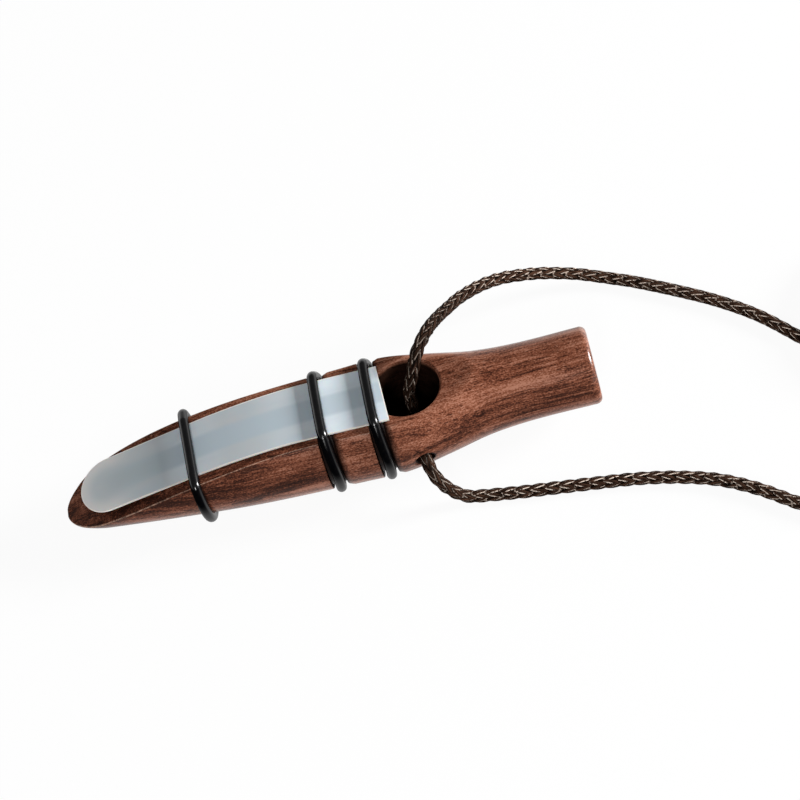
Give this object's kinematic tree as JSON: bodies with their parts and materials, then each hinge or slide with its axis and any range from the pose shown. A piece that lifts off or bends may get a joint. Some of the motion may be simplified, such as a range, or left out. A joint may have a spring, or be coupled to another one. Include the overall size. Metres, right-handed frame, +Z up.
{
  "type": "roe deer call",
  "caption": "Turned walnut roe deer call with a sloped tone board, a plastic reed held under rubber rings that slide to tune it, a horn bore and a braided neck cord.",
  "frame": {"origin": "middle of the call's length and width, on the surface that it lies on", "axes": "+X along the call from the mouth tip to the horn end, +Z up out of the reed, +Y to the left of someone who looks along +X"},
  "size_m": [0.1613, 0.0622, 0.02],
  "materials": {
    "walnut": "oiled, satin",
    "reed_plastic": "milky, smooth",
    "black_rubber": "smooth, slightly glossy",
    "brown_braid": "braided cord",
    "tie_wire": "coated wire"
  },
  "bodies": {
    "call": {"call_body": "walnut", "front_keeper_ring": "black_rubber", "rear_keeper_ring": "black_rubber", "lanyard_upper_run": "brown_braid", "lanyard_coil": "brown_braid", "lanyard_tail": "brown_braid", "lanyard_lower_run": "brown_braid", "lanyard_knot": "brown_braid", "coil_tie": "tie_wire"},
    "reed": {"reed": "reed_plastic"},
    "tuning_ring": {"tuning_ring": "black_rubber"}
  },
  "joints": [
    {"name": "tuning_ring_slide", "type": "slide", "parent": "call", "child": "tuning_ring", "axis": [-1, 0, 0], "range_m": [0, 0.009]},
    {"name": "reed_flex", "type": "hinge", "parent": "call", "child": "reed", "pos_m": [-0.0213, 0, 0.014], "axis": [0, -1, 0], "range_deg": [0, 5.5], "stiffness_Nm_per_rad": 0.02, "deforming": ["reed"]}
  ]
}
